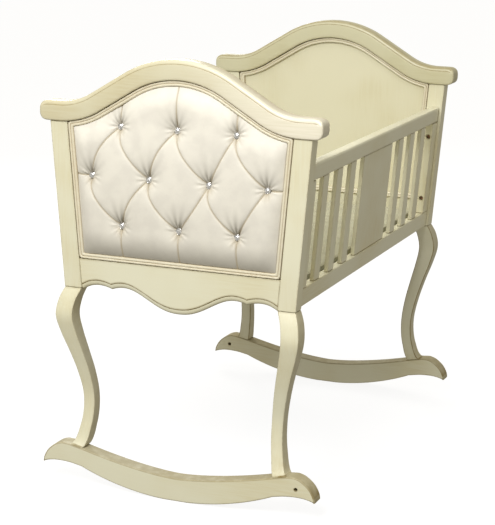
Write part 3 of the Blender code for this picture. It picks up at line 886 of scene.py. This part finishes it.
def build_pad(end, sy):
    """Tufted satin pad that fills the outer moulding, with its buttons."""
    rim = np.array(opening_loop(MOULDING_WIDTH + GAP, 0.0035), float)
    low, high = rim.min(0), rim.max(0)
    nx = int((high[0] - low[0]) / PAD_STEP)
    nz = int((high[1] - low[1]) / PAD_STEP)
    # columns run between the bottom edge and the rail's curve, rows between the two posts
    xs = np.linspace(-1, 1, nx + 1)
    rows = np.linspace(0, 1, nz + 1)
    top_half = rim[rim[:, 1] > rim[UPPER_CORNER, 1] - 1e-5]
    top_half = top_half[np.argsort(top_half[:, 0])]
    corner_x = top_half[:, 0].max()
    base_z = low[1]
    base_x = rim[np.argmin(np.abs(rim[:, 1] - base_z - 0.004)), 0]
    grid_x = np.zeros((nz + 1, nx + 1))
    grid_z = np.zeros_like(grid_x)
    for i, s in enumerate(xs):
        x_top, x_low = s * corner_x, s * abs(base_x)
        z_top = np.interp(x_top, top_half[:, 0], top_half[:, 1])
        grid_x[:, i] = x_low + (x_top - x_low) * rows
        grid_z[:, i] = base_z + (z_top - base_z) * rows
    side = post_x(grid_z) - (POST_WIDTH + MOULDING_WIDTH + 2 * GAP) - np.abs(grid_x)
    bottom = grid_z - base_z
    rise = np.interp(grid_x, top_half[:, 0], top_half[:, 1]) - grid_z
    slope = np.gradient(top_half[:, 1], top_half[:, 0])
    lean = np.interp(grid_x, top_half[:, 0], slope)
    top = rise / np.sqrt(1 + lean ** 2)
    height, fold_shade, painted_shade = pad_height(grid_x, grid_z, side, bottom, top)
    verts = [(grid_x[j, i], sy * (PAD_EDGE_Y + height[j, i]), grid_z[j, i])
             for j in range(nz + 1) for i in range(nx + 1)]
    faces = grid_faces(nx, nz)
    # the sides run back to the end panel, and the back is closed
    ring = grid_rim(nx, nz)
    start, count = len(verts), len(ring)
    verts += [(verts[i][0], sy * (PANEL_FRONT + GAP), verts[i][2]) for i in ring]
    glaze_and_shade, shade = (list(values.reshape(-1)) + [0.0] * count for values in (fold_shade, painted_shade))
    for i in range(count):
        k = (i + 1) % count
        faces.append((ring[i], start + i, start + k, ring[k]))
    faces.append(tuple(range(start, start + count)))
    obj = make_piece(f"{end}_tufted_satin", verts, faces, glaze_and_shade, SATIN, sharp=70,
                     shade=shade)
    obj.modifiers.clear()
    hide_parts(f"{end}_tufted_pad")
    build_buttons(end, sy)


def build_buttons(end, sy, radius=0.0066, sides=12):
    """Faceted crystals in silver cups, pulled down into the satin."""
    # share of the radius, height over the seat in radii, and whether it is half a facet round
    rings_spec = ((0.00, 0.50, 0), (0.42, 0.50, 0), (0.80, 0.32, 1), (0.97, 0.06, 0),
                  (0.97, -0.06, 0))
    for row, (bz, xs) in enumerate(BUTTON_ROWS):
        for col, bx in enumerate(xs):
            seat = PAD_EDGE_Y - 0.0002
            faces = []
            rings = [circle(bx, bz, radius * share, sides, sy * (seat + 0.0015 + radius * lift),
                            math.pi * turn / sides + 0.3 * row + 0.2 * col)
                     for share, lift, turn in rings_spec]
            verts = [point for ring in rings for point in ring]
            for a in range(len(rings) - 1):
                for k in range(sides):
                    j = (k + 1) % sides
                    p, q = a * sides + k, a * sides + j
                    r, s = (a + 1) * sides + j, (a + 1) * sides + k
                    if rings_spec[a][2] != rings_spec[a + 1][2]:
                        faces += [(p, q, s), (q, r, s)] if rings_spec[a + 1][2] else [
                            (p, r, s), (p, q, r)]
                    else:
                        faces.append((p, q, r, s))
            last = (len(rings) - 1) * sides
            faces.append(tuple(range(last, last + sides)))
            number = f"{row + 1}_{col + 1}"
            make_piece(f"{end}_crystal_{number}", verts, faces, None, CRYSTAL,
                       flat=True)
            profile = [(0.0, -0.0030), (0.62, -0.0030), (0.98, -0.0006), (1.13, 0.0010),
                       (1.16, 0.0017), (1.08, 0.0021), (1.00, 0.0016), (0.90, 0.0006),
                       (0.0, 0.0004)]
            verts, faces = loft([circle(bx, bz, radius * share, 24, sy * (seat + lift))
                                 for share, lift in profile])
            make_piece(f"{end}_crystal_cup_{number}", verts, faces, None, SILVER,
                       sharp=50)


# ------------ bolts and mattress
def build_bolt(end, side, number, sx, sy, apothem=0.0023):
    """Socket bolt: a round head with a hexagonal recess of `apothem`, on its shank."""
    z = BOLT_Z[number - 1]
    x = sx * (post_x(z) - SIDE_INSET - STILE_THICK / 2)
    seat = INNER_Y - STILE_WIDTH + COUNTERBORE - 2 * GAP

    def hexagon(angle):
        return apothem / math.cos((angle + math.pi / 6) % (math.pi / 3) - math.pi / 6)

    shank, head = BOLT_RADII
    profile = [(shank, BOLT_LENGTH), (shank, 0.0), (head, 0.0), (head, 0.0005 - BOLT_HEAD),
               (head - 0.0004, -BOLT_HEAD), (None, -BOLT_HEAD), (None, -0.0026)]
    rings = []
    for radius, along in profile:
        ring = []
        for k in range(24):
            a = 2 * math.pi * k / 24
            r = hexagon(a) if radius is None else radius
            ring.append((x + r * math.cos(a), sy * (seat + along), z + r * math.sin(a)))
        rings.append(ring)
    verts, faces = loft(rings, caps=(0, -1))
    obj = make_piece(f"{end}_{side}_socket_bolt_{number}", verts, faces, None, BRONZE,
                     sharp=35)
    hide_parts(f"{end}_{side}_bolt_{number}")


def mattress_grid(half_x, half_y, steps_x, steps_y):
    """Points over a rectangle whose corners are rounded in plan by MATTRESS_CORNER."""
    grid = np.zeros((steps_y + 1, steps_x + 1, 2))
    for j in range(steps_y + 1):
        for i in range(steps_x + 1):
            x = half_x * (2 * i / steps_x - 1)
            y = half_y * (2 * j / steps_y - 1)
            in_x, in_y = half_x - MATTRESS_CORNER, half_y - MATTRESS_CORNER
            over_x, over_y = abs(x) - in_x, abs(y) - in_y
            if over_x > 0 and over_y > 0:
                pull = max(over_x, over_y) / math.hypot(over_x, over_y)
                x = math.copysign(in_x + over_x * pull, x)
                y = math.copysign(in_y + over_y * pull, y)
            grid[j, i] = x, y
    return grid


def build_mattress():
    """Thin quilted mattress: a crowned top stitched in diamonds, piped edges, soft sides."""
    half_x, half_y = MATTRESS_HALF[0] - 0.0020, MATTRESS_HALF[1] - 0.0020
    low, high = MATTRESS_Z
    steps_x, steps_y = 96, 190
    corner = MATTRESS_CORNER
    grid = mattress_grid(half_x, half_y, steps_x, steps_y)
    x, y = grid[..., 0], grid[..., 1]
    edge = np.minimum(half_x - np.abs(x), half_y - np.abs(y))
    over_x, over_y = np.abs(x) - half_x + corner, np.abs(y) - half_y + corner
    edge = np.where(np.minimum(over_x, over_y) > 0,
                    np.minimum(edge, corner - np.hypot(over_x, over_y)), edge)
    edge = np.maximum(edge, 0)
    z = high - MATTRESS_CROWN + MATTRESS_CROWN * rounded(edge, 0.050, 2.6)
    inside = rounded(edge, 0.035, 2.0)
    seam = np.zeros_like(z)
    for across in ((x + y) / math.sqrt(2), (x - y) / math.sqrt(2)):
        d = np.abs((across / QUILT_PITCH + 0.5) % 1.0 - 0.5) * QUILT_PITCH
        z -= inside * (0.0019 * np.exp(-d / 0.0075) + 0.0009 * np.exp(-(d / 0.0022) ** 2))
        seam = np.maximum(seam, inside * np.exp(-(d / 0.0020) ** 2))
    z += 0.0006 * np.sin(x * 61 + 2 * np.sin(y * 23)) * np.sin(y * 47 + 1.7 * np.sin(x * 31))
    verts = [(x[j, i], y[j, i], z[j, i]) for j in range(steps_y + 1) for i in range(steps_x + 1)]
    glaze_and_shade = [0.6 * v for v in seam.reshape(-1)]
    faces = grid_faces(steps_x, steps_y)
    ring = grid_rim(steps_x, steps_y)
    around = np.array([verts[i][:2] for i in ring])
    ahead, behind = np.roll(around, -1, 0), np.roll(around, 1, 0)
    out = np.stack([(ahead - behind)[:, 1], -(ahead - behind)[:, 0]], 1)
    out /= np.linalg.norm(out, axis=1)[:, None]

    def cord(centre):
        """The piping: most of a round cord."""
        angles = [math.radians(90 - 180 * k / 8) for k in range(1, 8)]
        return [(0.0004 + 0.0022 * math.cos(a), centre + 0.0022 * math.sin(a), 0.0)
                for a in angles]

    # the sides, from the top seam down: outset, height, glaze
    top = high - MATTRESS_CROWN
    side = [(0.0004, top - 0.0008, 0.7)] + cord(top - 0.0030) + [(0.0004, top - 0.0052, 0.7)]
    side += [(0.0002 + 0.0012 * math.sin(math.pi * k / 6),
              top - 0.0054 + (low + 0.0110 - top) * k / 6, 0.0) for k in range(1, 6)]
    side += [(0.0004, low + 0.0054, 0.7)] + cord(low + 0.0032) + [(-0.0010, low, 0.3)]
    previous = ring
    for outset, level, tint in side:
        start = len(verts)
        for (px, py), (nx, ny) in zip(around, out):
            verts.append((px + nx * outset, py + ny * outset, level))
            glaze_and_shade.append(tint)
        row = list(range(start, start + len(ring)))
        for i in range(len(ring)):
            k = (i + 1) % len(ring)
            faces.append((previous[i], row[i], row[k], previous[k]))
        previous = row
    faces.append(tuple(previous))
    obj = make_piece("quilted_mattress", verts, faces, glaze_and_shade, COTTON,
                     body="mattress", sharp=75)
    obj.modifiers.clear()
    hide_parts("mattress")


# ------------ put the two ends together
for end, sy in (("foot", -1), ("head", 1)):
    build_top_rail(end, sy)
    build_moulding(end, sy, inner=False)
    build_moulding(end, sy, inner=True)
    build_apron(end, sy)
    build_rocker(end, sy)
    build_pad(end, sy)
    for side, sx in (("left", -1), ("right", 1)):
        build_leg(end, side, sx, sy)
        for number in (1, 2):
            build_bolt(end, side, number, sx, sy)
build_mattress()

# the rest of the frame keeps its CAD shapes; the first word that fits a name counts
# board and cleats both take the nearly black painted shade
PAINT_BY_NAME = (("board", BOARD), ("cleat", BOARD), ("end_panel", PAINT_PANEL),
                 ("slat", PAINT_SLAT), ("post", PAINT_Z), ("stile", PAINT_Z),
                 ("panel", PAINT_Z), ("rail", PAINT_Y))
for name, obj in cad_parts.items():
    if obj.hide_render:
        continue
    mat = next((paint for word, paint in PAINT_BY_NAME if word in name), PAINT_X)
    for index in range(len(obj.material_slots)):
        obj.material_slots[index].material = mat

# ------------ floor, light and camera
floor_mesh = bpy.data.meshes.new("studio_floor")
floor_mesh.from_pydata([(-40, -40, 0), (40, -40, 0), (40, 40, 0), (-40, 40, 0)], [],
                       [(0, 1, 2, 3)])
floor = bpy.data.objects.new("studio_floor", floor_mesh)
floor.location.z = -0.0002
scene.collection.objects.link(floor)
floor_mat, floor_tree = new_material("studio_floor")
for socket, value in (("Base Color", (0.20, 0.20, 0.20)), ("Roughness", 0.95),
                      ("Specular IOR Level", 0.0), ("Emission Color", (1.0, 1.0, 1.0)),
                      ("Emission Strength", 0.88)):
    floor_tree.shader(socket, value)
floor_mesh.materials.append(floor_mat)
floor.visible_diffuse = False
floor.visible_glossy = False

SKY_LEVEL = 0.3168            # brightness of the studio's walls, before the two gradients
world = bpy.data.worlds.new("studio")
scene.world = world
sky = Tree(world)
from_top = sky.remap(sky.axis("Generated", "Z"), -0.6, 0.9, 0.80, 1.40)
from_front = sky.remap(sky.axis("Generated", "Y"), 0.9, -0.9, 1.12, 1.45)
background = sky.nodes["Background"]
background.inputs["Color"].default_value = (1.0, 0.94, 0.80, 1)
sky.feed(background.inputs["Strength"],
         sky.math("MULTIPLY", sky.math("MULTIPLY", from_top, from_front), SKY_LEVEL))


def soft_light(name, place, aim, size, power, colour):
    data = bpy.data.lights.new(name, "AREA")
    data.shape = "DISK"
    data.size = size
    data.energy = power
    data.color = colour
    obj = bpy.data.objects.new(name, data)
    obj.location = place
    obj.rotation_mode = "QUATERNION"
    obj.rotation_quaternion = (Vector(place) - Vector(aim)).to_track_quat("Z", "Y")
    scene.collection.objects.link(obj)


soft_light("key_light", (0.15, -2.6, 2.5), (0, -0.2, 0.6), 1.2, 63, (1.0, 0.99, 0.985))
soft_light("top_light", (-0.2, -0.5, 3.4), (0, 0, 0.5), 1.6, 18, (1.0, 0.985, 0.95))
soft_light("back_light", (-1.8, 2.6, 2.0), (0, 0.2, 0.6), 1.4, 34, (1.0, 0.99, 0.97))

camera_data = bpy.data.cameras.new("camera")
camera = bpy.data.objects.new("camera", camera_data)
scene.collection.objects.link(camera)
scene.camera = camera
camera_data.sensor_width = 36.0
camera_data.lens = 119.2
yaw, pitch, roll = (math.radians(v) for v in (22.40, 13.42, 0.66))
forward = Vector((-math.sin(yaw) * math.cos(pitch), math.cos(yaw) * math.cos(pitch),
                  -math.sin(pitch)))
right = Vector((math.cos(yaw), math.sin(yaw), 0))
up = right.cross(forward)
right, up = (math.cos(roll) * right + math.sin(roll) * up,
             -math.sin(roll) * right + math.cos(roll) * up)
camera.matrix_world = Matrix((right, up, -forward)).transposed().to_4x4()
camera.location = (1.5206, -3.7887, 1.4063)
camera_data.clip_end = 200

scene.view_settings.view_transform = "Standard"
scene.view_settings.look = "None"
